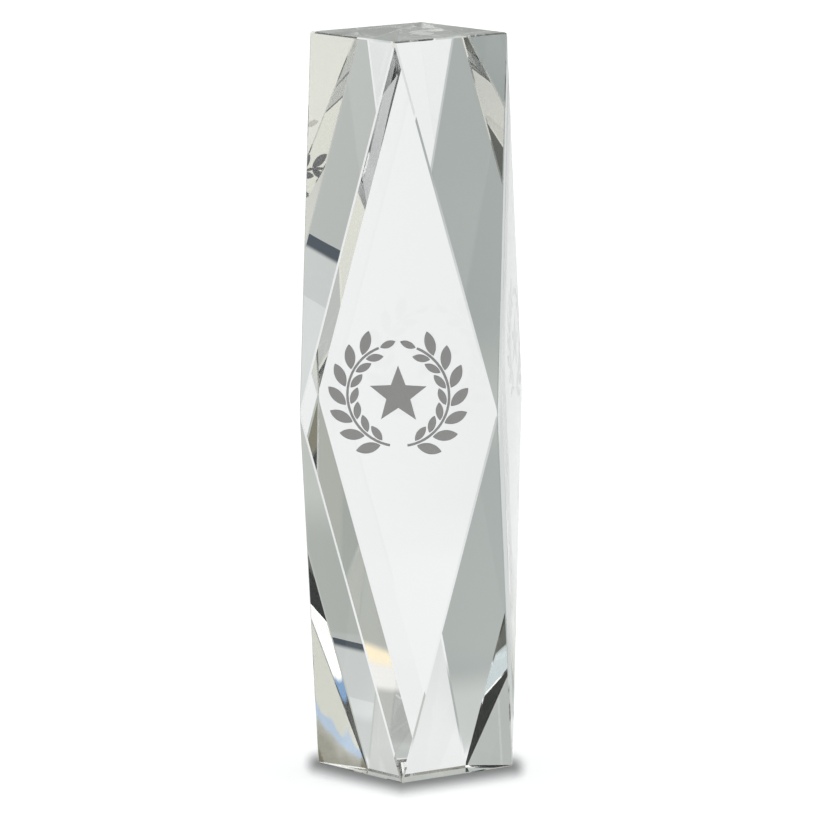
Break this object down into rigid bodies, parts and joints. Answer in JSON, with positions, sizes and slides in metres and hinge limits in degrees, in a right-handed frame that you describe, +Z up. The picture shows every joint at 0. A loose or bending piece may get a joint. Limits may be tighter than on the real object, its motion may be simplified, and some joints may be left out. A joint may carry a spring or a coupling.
{
  "type": "crystal award",
  "caption": "Tall faceted crystal tower award with diamond facets, triangular corner cuts and an engraved, paint-filled wreath and star on its front.",
  "frame": {"origin": "middle of the square foot, on the face that the award stands on", "axes": "+Z up the tower; -Y out of the engraved front facet; +X to the right as seen from the front"},
  "size_m": [0.06, 0.06, 0.225],
  "materials": {
    "optical_crystal": "clear optical crystal, cut and polished on every facet",
    "engraving_paint": "matt grey paint filled into the engraving"
  },
  "bodies": {
    "root": {"crystal_tower": "optical_crystal", "star_fill": "engraving_paint", "left_branch_fill": "engraving_paint", "right_branch_fill": "engraving_paint"}
  },
  "joints": []
}
